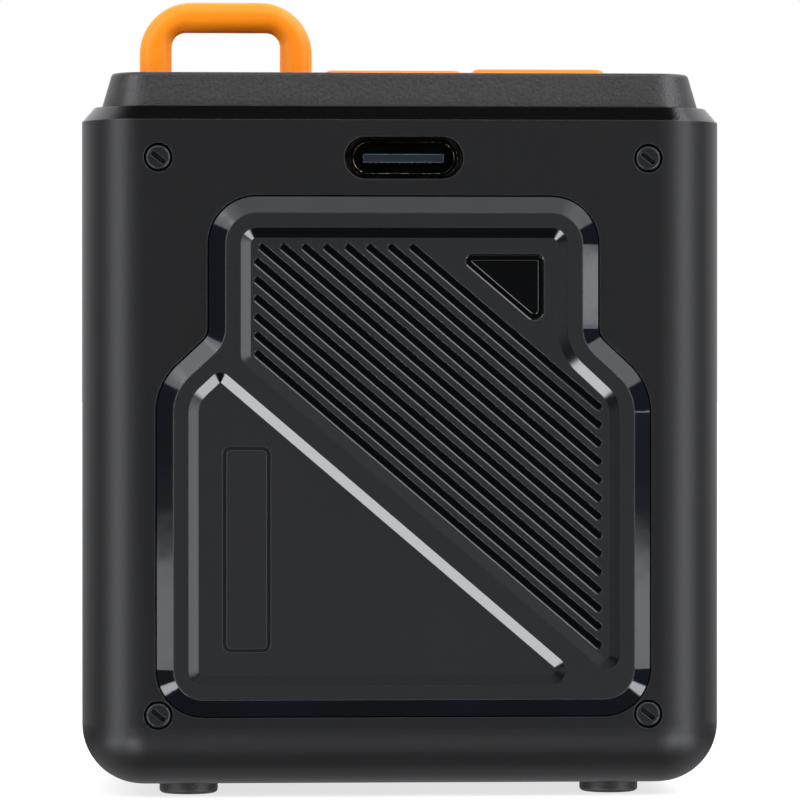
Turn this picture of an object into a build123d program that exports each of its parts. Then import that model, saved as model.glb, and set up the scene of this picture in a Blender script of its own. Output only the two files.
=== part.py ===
from build123d import *
import math
import os

# Pocket wireless speaker, in millimetres. +Z is up, the grille faces +Y and the bass radiator
# and the charging socket face -Y. The origin is on the ground, midway between the sides and
# midway between the radiator's land and the grille's face.

# ---- Body ----
BODY_WIDTH = 53.2
BODY_DEPTH = 36.0
BODY_BOTTOM = 1.0
BODY_TOP = 57.3
SIDE_EDGE_RADIUS = 5.5
FLOOR_EDGE_RADIUS = 5.0
SHOULDER_ACROSS = 1.0
SHOULDER_DOWN = 1.15
WALL = 1.8
REAR_FACE = -BODY_DEPTH / 2
REAR_INSIDE = REAR_FACE + WALL
SPLIT_Y = 13.4
CEILING = BODY_TOP - WALL
FLOOR = BODY_BOTTOM + WALL
SIDE_INSIDE = BODY_WIDTH / 2 - WALL

# ---- Top cap and the hole under it ----
CAP_WIDTH = 49.9
CAP_DEPTH = 32.7
CAP_TOP = 60.2
CAP_TAPER = 16.3
CAP_CORNER = 4.0
CAP_SKIN = 1.5
CAP_INSIDE = CAP_TOP - CAP_SKIN
TOP_HOLE_WIDTH = 45.2
TOP_HOLE_DEPTH = 17.6

# ---- Carry loop ----
LOOP_X = -14.4
LOOP_WIDTH = 14.8
LOOP_ROD = 2.6
LOOP_GAP_WIDTH = 9.3
LOOP_TOP = 67.1
LOOP_OUTER_CORNER = 4.5
LOOP_ROUNDING = 1.15
LOOP_INNER_CORNER = 1.2
LOOP_HOLE_PLAY = 0.05
LOOP_LEG = (LOOP_WIDTH - LOOP_GAP_WIDTH) / 2
ANCHOR_BOTTOM = 57.4

# ---- Keys ----
KEY_FRAME_X = (-6.55, 18.1)
KEY_FRAME_Y = 7.6
KEY_FRAME_BOTTOM = 58.0
KEY_FRAME_TOP = 60.7
KEY_Y = 7.1
LEFT_KEYS_X = (-6.1, 5.5)
ROCKER_X = (6.3, 17.7)
KEY_TOP = 60.9
ROCKER_TOP = 61.05
KEY_GAP = 0.12
ROCKER_GAP = 0.24
KEY_SPLIT = 0.3
KEY_TRAVEL = 0.4
SYMBOL_DEPTH = 0.15
KEY_BOARD_TOP = 56.4
KEY_BOARD_THICK = 0.8
DOME_TOP = KEY_BOARD_TOP + 0.25

# ---- Bass radiator panel: corners anticlockwise from the top right, seen from behind ----
PANEL_UPPER_X = 16.1
PANEL_LOWER_X = 20.4
PANEL_TOP_Z = 49.8
PANEL_NECK_Z = 38.3
PANEL_HIP_Z = 34.3
PANEL_BOTTOM_Z = 6.9
PANEL_CORNERS = [
    (PANEL_UPPER_X, PANEL_TOP_Z),
    (-PANEL_UPPER_X, PANEL_TOP_Z),
    (-PANEL_UPPER_X, PANEL_NECK_Z),
    (-PANEL_LOWER_X, PANEL_HIP_Z),
    (-PANEL_LOWER_X, PANEL_BOTTOM_Z),
    (PANEL_LOWER_X, PANEL_BOTTOM_Z),
    (PANEL_LOWER_X, PANEL_HIP_Z),
    (PANEL_UPPER_X, PANEL_NECK_Z),
]
PANEL_RADII = [3.95, 3.95, 1.5, 5.5, 3.9, 3.9, 5.5, 1.5]
BAND = 1.4
LAND = 1.2
PANEL_FACE = -19.0
PANEL_BACK = -17.2
HOLE_GAP = 0.12
FLANGE_OUT = 0.7
FLANGE_Y = (REAR_INSIDE, REAR_INSIDE + 0.8)
RECESS_DEPTH = 0.35
RECESS_BEVEL = 0.85
DIAGONAL = 40.5
UPPER_EDGE = 18.8
LOWER_EDGE = 17.2
GROOVE_COUNT = 14
GROOVE_FIRST = 20.1
GROOVE_PITCH = 1.154
GROOVE_WIDTH = 0.7
GROOVE_DEPTH = 0.4
GROOVE_LIP = 0.12
LIP_DEPTH = 0.1
INLAY_POCKET_DEPTH = 0.5
INLAY_GAP = 0.45
INLAY_THICK = 0.4
GROOVE_LEFT = -12.1
GROOVE_RIGHT = 16.05
GROOVE_TOP = 45.55
MASS_Y = (PANEL_BACK, -16.0)

# ---- Rear screws and the clamp frame that they pull in ----
REAR_SCREW_X = 20.27
REAR_SCREW_Z = (7.0, 53.0)
REAR_HEAD_RADIUS = 1.075
REAR_RECESS_RADIUS = 1.2
REAR_RECESS_DEPTH = 0.75
REAR_SLOT_ANGLE = -38
SHANK_RADIUS = 0.6
CLAMP_Y = (FLANGE_Y[1], -13.6)
CLAMP_BOSS_RADIUS = 1.7

# ---- Socket ----
SOCKET_Z = 53.0
SOCKET_HOLE = (9.85, 3.5)
SHELL_OUTSIDE = (8.94, 3.16)
SHELL_INSIDE = (8.34, 2.56)
SHELL_Y = (-17.6, -10.3)
TONGUE = (6.69, 0.70)

# ---- Boards ----
BOARD_Z = (52.6, 53.4)
BOARD_X = 16.0
BOARD_Y = (-15.2, 12.0)
BOARD_SCREW_X = 13.8
BOARD_SCREW_Y = 10.5

# ---- Battery ----
CELL_X = 15.0
CELL_Y = (-11.4, -6.0)
CELL_Z = (11.0, 43.0)
TRAY_Y = (-13.2, -12.0)
TRAY_SCREW_X = 21.0
TRAY_SCREW_Z = (14.0, 42.0)

# ---- Front and driver ----
GRILLE_X = 21.0
GRILLE_Z = (6.5, 53.5)
GRILLE_CORNER = 3.0
GRILLE_FACE = 19.0
GRILLE_SHEET = 0.7
BAFFLE_FRONT = 15.2
FRAME_SCREW_X = 18.6
FRAME_SCREW_Z = (9.2, 50.8)
DRIVER_Z = 28.5
DRIVER_HOLE = 17.9
EAR_REACH = 21.0
COIL_RADIUS = 8.15

# ---- Feet ----
FOOT_RADIUS = 2.45
FOOT_X = 17.7
FOOT_Y = 10.0
FOOT_EDGE = 0.35

WAYS = [(-1, -1), (1, -1), (-1, 1), (1, 1)]


# ---- Shapes used by several parts ----

def block(x_range, y_range, z_range):
    """A box between two limits on each axis."""
    spans = (x_range, y_range, z_range)
    middle = [(low + high) / 2 for low, high in spans]
    return Pos(*middle) * Box(*[high - low for low, high in spans])


def slab_y(outline, y_range):
    """An outline drawn in X and Z, as thick as y_range."""
    start = Plane.XZ.offset(-y_range[1]) * outline
    return extrude(start, amount=y_range[1] - y_range[0])


def slab_z(outline, z_range):
    """An outline drawn in X and Y, as thick as z_range."""
    return extrude(Plane.XY.offset(z_range[0]) * outline, amount=z_range[1] - z_range[0])


def rod_y(x, z, radius, y_range):
    return slab_y(Pos(x, z) * Circle(radius), y_range)


def rod_z(x, y, radius, z_range):
    return slab_z(Pos(x, y) * Circle(radius), z_range)


def rounded_rectangle(x_range, y_range, radius):
    """A rectangle with round corners between two limits on each axis."""
    middle = (sum(x_range) / 2, sum(y_range) / 2)
    return Pos(*middle) * RectangleRounded(x_range[1] - x_range[0], y_range[1] - y_range[0], radius)


def inset_outline(corners, radii, inset):
    """An anticlockwise outline with round corners, all its sides moved inwards by inset."""
    points = []
    rounds = []
    for index, here in enumerate(corners):
        before = Vector(*corners[index - 1])
        after = Vector(*corners[(index + 1) % len(corners)])
        arriving = (Vector(*here) - before).normalized()
        leaving = (after - Vector(*here)).normalized()
        normal_in = Vector(-arriving.Y, arriving.X)
        normal_out = Vector(-leaving.Y, leaving.X)
        shift = (normal_in + normal_out) * (inset / (1 + normal_in.dot(normal_out)))
        points.append(Vector(*here) + shift)
        bends_out = arriving.cross(leaving).Z > 0
        rounds.append(radii[index] - inset if bends_out else radii[index] + inset)
    return make_face(FilletPolyline(*points, radius=rounds, close=True))


def sunk_pocket(corners, radii, top_y, depth, bevel):
    """A pocket in a face that looks towards -Y, with sloping sides down to a flat floor."""
    mouth = Plane.XZ.offset(-top_y) * inset_outline(corners, radii, 0)
    floor = Plane.XZ.offset(-top_y - depth) * inset_outline(corners, radii, bevel)
    return loft([mouth, floor], ruled=True)


def cross_screw(head_radius, head_height, shank_length):
    """A small cross-head screw: its head stands on z = 0 and its shank hangs below."""
    head = rod_z(0, 0, head_radius, (0, head_height))
    head = fillet(head.edges().group_by(Axis.Z)[-1], head_height * 0.45)
    arm = (-head_radius * 0.6, head_radius * 0.6)
    waist = (-head_radius * 0.15, head_radius * 0.15)
    deep = (head_height * 0.5, head_height)
    cross = block(arm, waist, deep) + block(waist, arm, deep)
    return head - cross + rod_z(0, 0, SHANK_RADIUS, (-shank_length, 0))


def slotted_screw(shank_length):
    """The rear screws: a low domed head with one closed-ended slot."""
    height = REAR_RECESS_DEPTH - 0.03
    head = rod_z(0, 0, REAR_HEAD_RADIUS, (0, height))
    head = fillet(head.edges().group_by(Axis.Z)[-1], 0.3)
    slot = slab_z(Rot(0, 0, REAR_SLOT_ANGLE) * SlotOverall(1.5, 0.46), (height - 0.38, height))
    return head - slot + rod_z(0, 0, SHANK_RADIUS, (-shank_length, 0))


def turned(*points):
    """A ring of the driver, from corners given as (distance from its axis, y)."""
    profile = make_face(Polyline(*points, close=True))
    return Pos(0, 0, DRIVER_Z) * revolve(profile, axis=Axis.Y)


def tube(points, radius, bend):
    """A round wire along straight runs joined by arcs."""
    route = FilletPolyline(*points, radius=bend)
    section = Plane(route @ 0, z_dir=route % 0) * Circle(radius)
    return sweep(section, path=route)


def lying(shape, x, y, z):
    """A screw laid along Y with its head towards -Y."""
    return Pos(x, y, z) * Rot(90, 0, 0) * shape


def facing_front(shape, x, y, z):
    """A screw laid along Y with its head towards +Y."""
    return Pos(x, y, z) * Rot(-90, 0, 0) * shape


# ---- Body ----

def body_outside():
    """The body as one block: round upright edges, round floor edges and a chamfered shoulder."""
    height = BODY_TOP - BODY_BOTTOM
    solid = Pos(0, 0, BODY_BOTTOM + height / 2) * Box(BODY_WIDTH, BODY_DEPTH, height)
    solid = fillet(solid.edges().filter_by(Axis.Z), SIDE_EDGE_RADIUS)
    solid = fillet(solid.edges().group_by(Axis.Z)[0], FLOOR_EDGE_RADIUS)
    low = RectangleRounded(BODY_WIDTH, BODY_DEPTH, SIDE_EDGE_RADIUS)
    shoulder_taper = math.degrees(math.atan(SHOULDER_ACROSS / SHOULDER_DOWN))
    start = BODY_TOP - SHOULDER_DOWN
    lid = extrude(Plane.XY.offset(start) * low, amount=SHOULDER_DOWN, taper=shoulder_taper)
    below = block((-BODY_WIDTH, BODY_WIDTH), (-BODY_DEPTH, BODY_DEPTH), (0, start))
    return solid & (below + lid)


def body_inside(front_y):
    """The room inside the walls, open at the front."""
    room = block((-SIDE_INSIDE, SIDE_INSIDE), (REAR_INSIDE, front_y), (FLOOR, CEILING))
    rear_edges = room.edges().filter_by(Axis.Z).group_by(Axis.Y)[0]
    room = fillet(rear_edges, SIDE_EDGE_RADIUS - WALL)
    floor_edges = [edge for edge in room.edges().group_by(Axis.Z)[0] if edge.center().Y < front_y - 0.01]
    return fillet(floor_edges, FLOOR_EDGE_RADIUS - WALL)


def main_housing():
    """Rear shell with the sides, the ceiling and the floor in one moulding."""
    behind_split = block((-BODY_WIDTH, BODY_WIDTH), (-BODY_DEPTH, SPLIT_Y), (0, CAP_TOP))
    shell = (body_outside() & behind_split) - body_inside(SPLIT_Y)
    through_rear = (REAR_FACE - 1, REAR_INSIDE + 0.1)
    shell -= slab_y(inset_outline(PANEL_CORNERS, PANEL_RADII, -HOLE_GAP), through_rear)
    shell -= slab_y(Pos(0, SOCKET_Z) * SlotOverall(*SOCKET_HOLE), through_rear)
    shell -= slab_z(RectangleRounded(TOP_HOLE_WIDTH, TOP_HOLE_DEPTH, 2), (CEILING - 1, BODY_TOP + 1))
    shell -= gasket_ring(BODY_TOP - 0.4, BODY_TOP + 1)
    for x, z in rear_screw_places():
        shell -= rod_y(x, z, REAR_RECESS_RADIUS, (REAR_FACE - 1, REAR_FACE + REAR_RECESS_DEPTH))
        shell -= rod_y(x, z, SHANK_RADIUS + 0.1, through_rear)
    for x, z in frame_screw_places():
        rib_x = sorted((x, math.copysign(SIDE_INSIDE + 0.2, x)))
        rib = block(rib_x, (4.4, SPLIT_Y - 1.2), (z - 0.8, z + 0.8))
        shell += rod_y(x, z, 2.2, (4.4, SPLIT_Y)) + rib
        shell -= rod_y(x, z, SHANK_RADIUS, (6.0, SPLIT_Y + 1))
    for x, y in board_screw_places():
        shell += rod_z(x, y, 1.6, (BOARD_Z[1], CEILING + 0.2))
        shell -= rod_z(x, y, SHANK_RADIUS, (BOARD_Z[1] - 1, CEILING))
    for x, y in cap_screw_places():
        shell -= rod_z(x, y, SHANK_RADIUS + 0.1, (CEILING - 1, BODY_TOP + 1))
    for x, y in foot_places():
        shell -= rod_z(x, y, 1.5, (0, BODY_BOTTOM + 1.1))
    return shell


def rear_screw_places():
    return [(side * REAR_SCREW_X, z) for z in REAR_SCREW_Z for side in (-1, 1)]


def frame_screw_places():
    return [(side * FRAME_SCREW_X, z) for z in FRAME_SCREW_Z for side in (-1, 1)]


def board_screw_places():
    return [(x * BOARD_SCREW_X, y * BOARD_SCREW_Y) for x, y in WAYS]


def cap_screw_places():
    return [(x * 21.0, y * 10.6) for x, y in WAYS]


def foot_places():
    return [(x * FOOT_X, y * FOOT_Y) for x, y in WAYS]


def feet():
    """Four rubber feet with a soft lower edge, each with a plug in the floor."""
    made = []
    for x, y in foot_places():
        pad = rod_z(x, y, FOOT_RADIUS, (0, BODY_BOTTOM))
        pad = fillet(pad.edges().group_by(Axis.Z)[0], FOOT_EDGE)
        made.append(pad + rod_z(x, y, 1.5, (BODY_BOTTOM, BODY_BOTTOM + 1.1)))
    return made


def rear_screws():
    seat = REAR_FACE + REAR_RECESS_DEPTH
    return [lying(slotted_screw(5.5), x, seat, z) for x, z in rear_screw_places()]


# ---- Top: cap, loop and keys ----

def gasket_ring(low, high):
    """The ring between cap and housing, outside the cap's screws."""
    ring = RectangleRounded(47.8, 30.6, 3.2) - RectangleRounded(46.6, 29.4, 2.6)
    return slab_z(ring, (low, high))


def top_cap():
    """Tapered cover plate, hollow below, with holes for the loop, the keys and the light pipe."""
    plate = extrude(
        Plane.XY.offset(BODY_TOP) * RectangleRounded(CAP_WIDTH, CAP_DEPTH, CAP_CORNER),
        amount=CAP_TOP - BODY_TOP,
        taper=CAP_TAPER,
    )
    plate = fillet(plate.edges().group_by(Axis.Z)[-1], 0.35)
    plate -= slab_z(RectangleRounded(44.8, 27.6, 2.5), (BODY_TOP - 1, CAP_INSIDE))
    for x, y in cap_screw_places():
        plate += rod_z(x, y, 2.0, (BODY_TOP, CAP_INSIDE + 0.2))
        plate -= rod_z(x, y, SHANK_RADIUS, (BODY_TOP - 1, CAP_INSIDE + 0.5))
    for y in (-6.3, 6.3):
        plate += rod_z(20.4, y, 1.4, (KEY_BOARD_TOP, CAP_INSIDE + 0.2))
        plate -= rod_z(20.4, y, SHANK_RADIUS, (KEY_BOARD_TOP - 1, CAP_INSIDE + 0.2))
    for y in (-4.3, 4.3):
        plate += rod_z(LOOP_X, y, 1.4, (ANCHOR_BOTTOM, CAP_INSIDE + 0.2))
        plate -= rod_z(LOOP_X, y, SHANK_RADIUS, (ANCHOR_BOTTOM - 1, CAP_INSIDE + 0.5))
    window = rounded_rectangle(KEY_FRAME_X, (-KEY_FRAME_Y, KEY_FRAME_Y), 1.2)
    plate -= slab_z(window, (BODY_TOP, CAP_TOP + 1))
    for x in loop_legs():
        wide = LOOP_LEG + 2 * LOOP_HOLE_PLAY
        deep = LOOP_ROD + 2 * LOOP_HOLE_PLAY
        plate -= slab_z(Pos(x, 0) * RectangleRounded(wide, deep, LOOP_ROUNDING), (BODY_TOP, CAP_TOP + 1))
    plate -= rod_z(20.6, 0, 0.8, (BODY_TOP, CAP_TOP + 1))
    return plate


def loop_legs():
    reach = (LOOP_WIDTH - LOOP_LEG) / 2
    return (LOOP_X - reach, LOOP_X + reach)


def carry_loop():
    """Moulded loop with an almost square eye, on an anchor bar that stays under the cap."""
    half = LOOP_WIDTH / 2
    eye = LOOP_GAP_WIDTH / 2
    bottom = ANCHOR_BOTTOM + 0.3
    outline = make_face(FilletPolyline(
        (LOOP_X + half, bottom), (LOOP_X + half, LOOP_TOP),
        (LOOP_X - half, LOOP_TOP), (LOOP_X - half, bottom),
        radius=[0, LOOP_OUTER_CORNER, LOOP_OUTER_CORNER, 0], close=True,
    ))
    hole_top = LOOP_TOP - LOOP_ROD
    hole = make_face(FilletPolyline(
        (LOOP_X + eye, bottom), (LOOP_X + eye, hole_top),
        (LOOP_X - eye, hole_top), (LOOP_X - eye, bottom),
        radius=[0, LOOP_INNER_CORNER, LOOP_INNER_CORNER, 0], close=True,
    ))
    hoop = slab_y(outline - hole, (-LOOP_ROD / 2, LOOP_ROD / 2))
    long_edges = [edge for edge in hoop.edges() if abs(abs(edge.center().Y) - LOOP_ROD / 2) < 0.01]
    hoop = fillet([edge for edge in long_edges if edge.center().Z > bottom + 0.01], LOOP_ROUNDING)
    bar = block((LOOP_X - half, LOOP_X + half), (-2.2, 2.2), (ANCHOR_BOTTOM, CAP_INSIDE - 0.1))
    return hoop + bar


def loop_retainer():
    """Plate that holds the anchor bar up against the cap."""
    plate = slab_z(rounded_rectangle((-22.2, -7.2), (-6.2, 6.2), 1.5), (ANCHOR_BOTTOM - 0.9, ANCHOR_BOTTOM))
    for y in (-4.3, 4.3):
        plate -= rod_z(LOOP_X, y, SHANK_RADIUS + 0.1, (ANCHOR_BOTTOM - 2, ANCHOR_BOTTOM + 1))
    return plate


def from_below(shape, x, y, z):
    """A screw laid along Z with its head downwards."""
    return Pos(x, y, z) * Rot(180, 0, 0) * shape


def loop_screws():
    seat = ANCHOR_BOTTOM - 0.9
    return [from_below(cross_screw(1.1, 0.6, 2.2), LOOP_X, y, seat) for y in (-4.3, 4.3)]


def cap_screws():
    return [from_below(cross_screw(1.1, 0.7, 3.4), x, y, CEILING) for x, y in cap_screw_places()]


def key_ranges():
    """X range, Y range and the gap round each key."""
    half_split = KEY_SPLIT / 2
    return {
        "power_key": (LEFT_KEYS_X, (-KEY_Y, -half_split), KEY_GAP),
        "play_key": (LEFT_KEYS_X, (half_split, KEY_Y), KEY_GAP),
        "volume_rocker": (ROCKER_X, (-KEY_Y, KEY_Y), ROCKER_GAP),
    }


def key_frame():
    """Thin frame round the keys, a little prouder than the cap."""
    outline = rounded_rectangle(KEY_FRAME_X, (-KEY_FRAME_Y, KEY_FRAME_Y), 1.2)
    frame = slab_z(outline, (KEY_FRAME_BOTTOM, KEY_FRAME_TOP))
    frame = fillet(frame.edges().group_by(Axis.Z)[-1], 0.2)
    left_room = (LEFT_KEYS_X[0] - KEY_GAP, LEFT_KEYS_X[1] + KEY_GAP)
    rocker_room = (ROCKER_X[0] - ROCKER_GAP, ROCKER_X[1] + ROCKER_GAP)
    for x_range, gap in ((left_room, KEY_GAP), (rocker_room, ROCKER_GAP)):
        opening = rounded_rectangle(x_range, (-KEY_Y - gap, KEY_Y + gap), 1.0)
        frame -= slab_z(opening, (KEY_FRAME_BOTTOM - 1, KEY_FRAME_TOP + 1))
    return frame


def key_cap(x_range, y_range, top, flange_z, crown):
    """A key with a soft upper edge and a wider flange that keeps it under the frame."""
    cap = slab_z(rounded_rectangle(x_range, y_range, 0.9), (flange_z[0], top))
    cap = fillet(cap.edges().group_by(Axis.Z)[-1], crown)
    return cap


def power_symbol(x, y):
    """Open ring with a bar in its gap."""
    ring = Pos(x, y) * (Circle(1.15) - Circle(0.85)) - Pos(x, y + 1) * Rectangle(0.9, 1.2)
    return ring + Pos(x, y + 0.75) * Rectangle(0.3, 1.1)


def play_symbol(x, y):
    return Pos(x, y) * make_face(Polyline((-0.8, -1.0), (-0.8, 1.0), (1.1, 0), close=True))


def minus_symbol(x, y):
    return Pos(x, y) * Rectangle(1.9, 0.35)


def plus_symbol(x, y):
    return minus_symbol(x, y) + Pos(x, y) * Rectangle(0.35, 1.9)


def push_key(name):
    """A key that goes straight down onto its dome."""
    x_range, y_range, _ = key_ranges()[name]
    flange_z = (57.45, KEY_FRAME_BOTTOM - 0.05)
    cap = key_cap(x_range, y_range, KEY_TOP, flange_z, 0.4)
    outer = -1 if y_range[0] < 0 else 1
    lip_y = sorted((outer * 1.5, outer * (KEY_Y + 0.5)))
    lip = block((x_range[0] + 1, x_range[1] - 1), lip_y, flange_z)
    dome_x, dome_y = dome_places()[name]
    nub = rod_z(dome_x, dome_y, 0.9, (DOME_TOP + KEY_TRAVEL + 0.05, flange_z[0]))
    symbol = power_symbol if name == "power_key" else play_symbol
    sunk = slab_z(symbol(dome_x, dome_y), (KEY_TOP - SYMBOL_DEPTH, KEY_TOP + 1))
    return cap + lip + nub - sunk


def volume_rocker():
    """A key that rocks on a ridge, with one nub over each of its two domes."""
    x_range, y_range, _ = key_ranges()["volume_rocker"]
    flange_z = (57.1, 57.5)
    cap = key_cap(x_range, y_range, ROCKER_TOP, flange_z, 0.6)
    lip = block((x_range[0] + 1.2, x_range[1] - 1.2), (y_range[0] - 0.5, y_range[1] + 0.5), flange_z)
    ridge = block((11.75, 12.25), (-3, 3), (KEY_BOARD_TOP + 0.05, flange_z[0]))
    rocker = cap + lip + ridge
    for name in ("volume_down", "volume_up"):
        x, y = dome_places()[name]
        rocker += rod_z(x, y, 0.9, (DOME_TOP + 0.22, flange_z[0]))
        symbol = minus_symbol if name == "volume_down" else plus_symbol
        rocker -= slab_z(symbol(x, y), (ROCKER_TOP - SYMBOL_DEPTH, ROCKER_TOP + 1))
    return rocker


def dome_places():
    return {
        "power_key": (-0.3, -3.6),
        "play_key": (-0.3, 3.6),
        "volume_down": (7.9, 0),
        "volume_up": (16.1, 0),
    }


def key_domes():
    """Snap domes: shallow round steel buttons on the key board."""
    made = []
    for x, y in dome_places().values():
        disc = rod_z(x, y, 1.9, (KEY_BOARD_TOP, DOME_TOP))
        made.append(chamfer(disc.edges().group_by(Axis.Z)[-1], 0.2, 0.9))
    return made


def key_board():
    outline = rounded_rectangle((-6.4, 22.2), (-8.0, 8.0), 1.0)
    board = slab_z(outline, (KEY_BOARD_TOP - KEY_BOARD_THICK, KEY_BOARD_TOP))
    for y in (-6.3, 6.3):
        board -= rod_z(20.4, y, SHANK_RADIUS + 0.1, (KEY_BOARD_TOP - 2, KEY_BOARD_TOP + 1))
    return board


def key_board_screws():
    seat = KEY_BOARD_TOP - KEY_BOARD_THICK
    return [from_below(cross_screw(1.1, 0.6, 2.6), 20.4, y, seat) for y in (-6.3, 6.3)]


def status_led():
    return block((19.8, 21.4), (-0.5, 0.5), (KEY_BOARD_TOP, KEY_BOARD_TOP + 0.5))


def light_pipe():
    """Clear peg from just above the lamp to the cap's face."""
    return rod_z(20.6, 0, 0.8, (KEY_BOARD_TOP + 0.6, CAP_TOP))


# ---- Bass radiator ----

def diagonal_point(across, along):
    """A point given by its distance from the diagonal through the origin and its place along it."""
    angle = math.radians(DIAGONAL)
    x = across * math.sin(angle) + along * math.cos(angle)
    z = across * math.cos(angle) - along * math.sin(angle)
    return (x, z)


def diagonal_at_x(across, x):
    angle = math.radians(DIAGONAL)
    return (x, (across - x * math.sin(angle)) / math.cos(angle))


def diagonal_at_z(across, z):
    angle = math.radians(DIAGONAL)
    return ((across - z * math.cos(angle)) / math.sin(angle), z)


def inner_bound():
    """Half-widths, top, bottom, neck and hip of the area inside band and land."""
    edge = BAND + LAND
    turn = math.atan2(PANEL_LOWER_X - PANEL_UPPER_X, PANEL_NECK_Z - PANEL_HIP_Z)
    drop = edge * math.tan(turn / 2)
    return {
        "upper_x": PANEL_UPPER_X - edge,
        "lower_x": PANEL_LOWER_X - edge,
        "top": PANEL_TOP_Z - edge,
        "bottom": PANEL_BOTTOM_Z + edge,
        "neck": PANEL_NECK_Z - drop,
        "hip": PANEL_HIP_Z - drop,
    }


def upper_pocket():
    """The grooved field, above the ridge."""
    area = inner_bound()
    corners = [
        (area["upper_x"], area["top"]),
        (-area["upper_x"], area["top"]),
        diagonal_at_x(UPPER_EDGE, -area["upper_x"]),
        diagonal_at_x(UPPER_EDGE, area["lower_x"]),
        (area["lower_x"], area["hip"]),
        (area["upper_x"], area["neck"]),
    ]
    radii = [1.35, 1.35, 1.2, 1.1, 2.9, 4.1]
    return sunk_pocket(corners, radii, PANEL_FACE, RECESS_DEPTH, RECESS_BEVEL)


def lower_pocket():
    """The plain triangular field, below the ridge."""
    area = inner_bound()
    slope = (area["neck"] - area["hip"]) / (area["lower_x"] - area["upper_x"])
    angle = math.radians(DIAGONAL)
    reach = LOWER_EDGE - area["hip"] * math.cos(angle) - slope * area["lower_x"] * math.cos(angle)
    apex_x = reach / (math.sin(angle) + slope * math.cos(angle))
    corners = [
        diagonal_at_x(LOWER_EDGE, apex_x),
        (-area["lower_x"], area["hip"]),
        (-area["lower_x"], area["bottom"]),
        diagonal_at_z(LOWER_EDGE, area["bottom"]),
    ]
    radii = [0.95, 2.9, 1.3, 1.2]
    return sunk_pocket(corners, radii, PANEL_FACE, RECESS_DEPTH, RECESS_BEVEL)


def groove(index):
    """One round-ended groove, parallel to the ridge, with a sloping lip along its lower side and ends."""
    across = GROOVE_FIRST + index * GROOVE_PITCH
    angle = math.radians(DIAGONAL)
    from_left = (GROOVE_LEFT - across * math.sin(angle)) / math.cos(angle)
    from_top = (across * math.cos(angle) - GROOVE_TOP) / math.sin(angle)
    start = max(from_left, from_top)
    end = (GROOVE_RIGHT - across * math.sin(angle)) / math.cos(angle)
    middle = diagonal_point(across, (start + end) / 2)
    deep_middle = diagonal_point(across + GROOVE_LIP / 2, (start + end) / 2)
    turn = Rot(0, 0, -DIAGONAL)
    mouth = Pos(*middle) * turn * SlotCenterToCenter(end - start, GROOVE_WIDTH)
    deep = Pos(*deep_middle) * turn * SlotCenterToCenter(end - start, GROOVE_WIDTH - GROOVE_LIP)
    return lipped_cut(mouth, deep, GROOVE_DEPTH)


def lipped_cut(mouth, deep, depth):
    """A cut into a sunk field: a sloping lip from the mouth's outline to the deep one, then straight down."""
    field = PANEL_FACE + RECESS_DEPTH
    above = slab_y(mouth, (field - 0.2, field))
    lip = loft([Plane.XZ.offset(-field) * mouth, Plane.XZ.offset(-field - LIP_DEPTH) * deep], ruled=True)
    return above + lip + slab_y(deep, (field + LIP_DEPTH, field + depth))


def triangle_outline(inset):
    """Right-angled triangle in the upper right, with its long side parallel to the ridge."""
    left, right, top = 4.0, 11.6, 45.05
    drop = (right - left) * math.tan(math.radians(DIAGONAL))
    corners = [(right, top), (left, top), (right, top - drop)]
    return inset_outline(corners, [0.65, 0.6, 0.85], inset)


def radiator_panel():
    """Sculpted rigid panel: a flat land, two sunk fields, grooves and a pocket for the inlay."""
    panel = slab_y(inset_outline(PANEL_CORNERS, PANEL_RADII, BAND), (PANEL_FACE, PANEL_BACK))
    panel -= upper_pocket()
    panel -= lower_pocket()
    for index in range(GROOVE_COUNT):
        panel -= groove(index)
    floor = PANEL_FACE + RECESS_DEPTH
    panel -= lipped_cut(triangle_outline(0), triangle_outline(GROOVE_LIP), INLAY_POCKET_DEPTH)
    frame = rounded_rectangle((-15.0, -11.0), (12.2, 29.2), 0.7)
    frame -= rounded_rectangle((-14.65, -11.35), (12.55, 28.85), 0.4)
    panel -= slab_y(frame, (floor - 0.2, floor + 0.2))
    return panel


def triangle_inlay():
    """Polished plate glued to the pocket's floor, with bevelled front edges."""
    floor = PANEL_FACE + RECESS_DEPTH + INLAY_POCKET_DEPTH
    plate = slab_y(triangle_outline(INLAY_GAP), (floor - INLAY_THICK, floor))
    return chamfer(plate.edges().group_by(Axis.Y)[0], 0.08)


def radiator_mass():
    """Steel plate that tunes the panel."""
    outline = rounded_rectangle((-9, 9), (13, 41), 2.0)
    return slab_y(outline, MASS_Y)


def radiator_surround():
    """Rubber ring: a flange behind the rear wall, a wall through it and a sloping face."""
    outer = inset_outline(PANEL_CORNERS, PANEL_RADII, 0)
    inner = inset_outline(PANEL_CORNERS, PANEL_RADII, BAND)
    flange = inset_outline(PANEL_CORNERS, PANEL_RADII, -FLANGE_OUT)
    ring = slab_y(flange, FLANGE_Y) + slab_y(outer, (REAR_FACE, FLANGE_Y[1]))
    foot = Plane.XZ.offset(-REAR_FACE) * outer
    crest = Plane.XZ.offset(-PANEL_FACE) * inner
    ring += loft([foot, crest], ruled=True)
    ring -= slab_y(inner, (PANEL_FACE - 1, FLANGE_Y[1] + 1))
    for x, z in rear_screw_places():
        ring -= rod_y(x, z, CLAMP_BOSS_RADIUS + 0.1, (REAR_INSIDE, FLANGE_Y[1] + 1))
    return ring


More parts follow.
